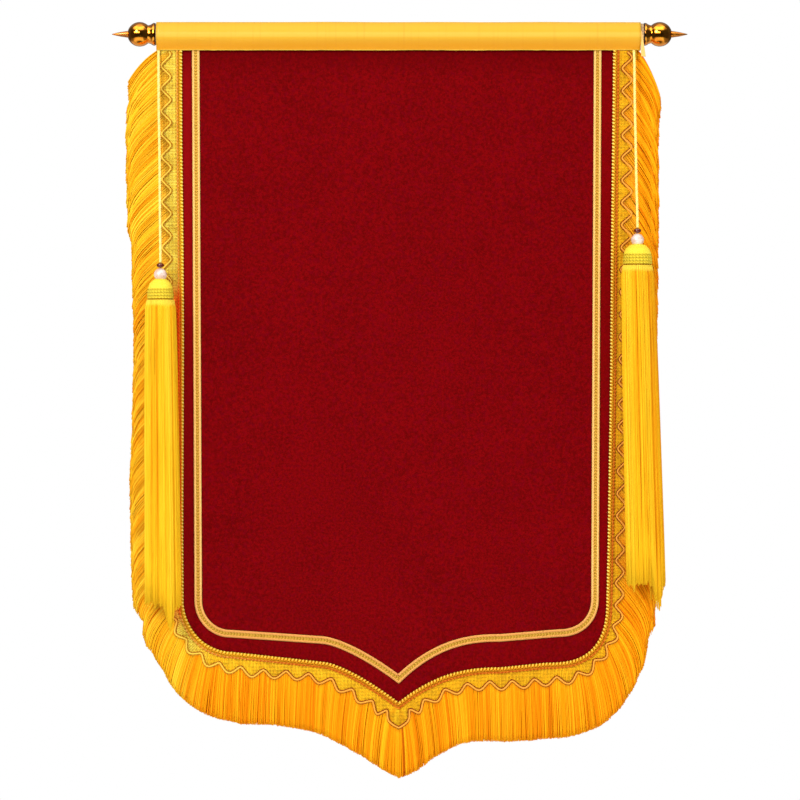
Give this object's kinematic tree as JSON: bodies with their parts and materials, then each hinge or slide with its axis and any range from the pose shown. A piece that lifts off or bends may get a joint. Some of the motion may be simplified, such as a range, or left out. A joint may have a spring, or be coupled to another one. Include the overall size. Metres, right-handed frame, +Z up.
{
  "type": "fringed velvet banner with hanging rod",
  "caption": "Red velvet banner with a pointed lower edge, gold fringe and gimp trim, hung from a finial-tipped rod in a satin sleeve, with hanging side tassels.",
  "frame": {"origin": "the middle of the rod's axis, where the banner is hung from", "axes": "+Z up, -Y out of the banner's front face, +X to the right as the front is seen"},
  "size_m": [0.5356, 0.0465, 0.7011],
  "materials": {
    "rod_wood": "plain sanded dowel",
    "finial_gold": "polished gold plating",
    "sleeve_satin": "glossy yellow satin",
    "panel_velvet": "deep red short-pile velvet",
    "gold_braid": "flat woven metallic braid",
    "heading_gimp": "netted yellow gimp",
    "fringe_silk": "loose glossy yarn ends",
    "tassel_silk": "glossy hanging yarn",
    "cord_silk": "thin twisted cord",
    "bead_pearl": "pearl lustre",
    "spacer_brown": "dark glossy bead"
  },
  "bodies": {
    "root": {"rod": "rod_wood", "finial_left": "finial_gold", "finial_right": "finial_gold", "sleeve": "sleeve_satin", "velvet_panel": "panel_velvet", "gold_line": "gold_braid", "fringe_heading": "heading_gimp", "heading_cord": "heading_gimp", "fringe": "fringe_silk", "tassel_left": "tassel_silk", "tassel_right": "tassel_silk", "bead_left": "bead_pearl", "bead_right": "bead_pearl", "spacer_left": "spacer_brown", "spacer_right": "spacer_brown", "tassel_cord_left": "cord_silk", "tassel_cord_right": "cord_silk"}
  },
  "joints": []
}
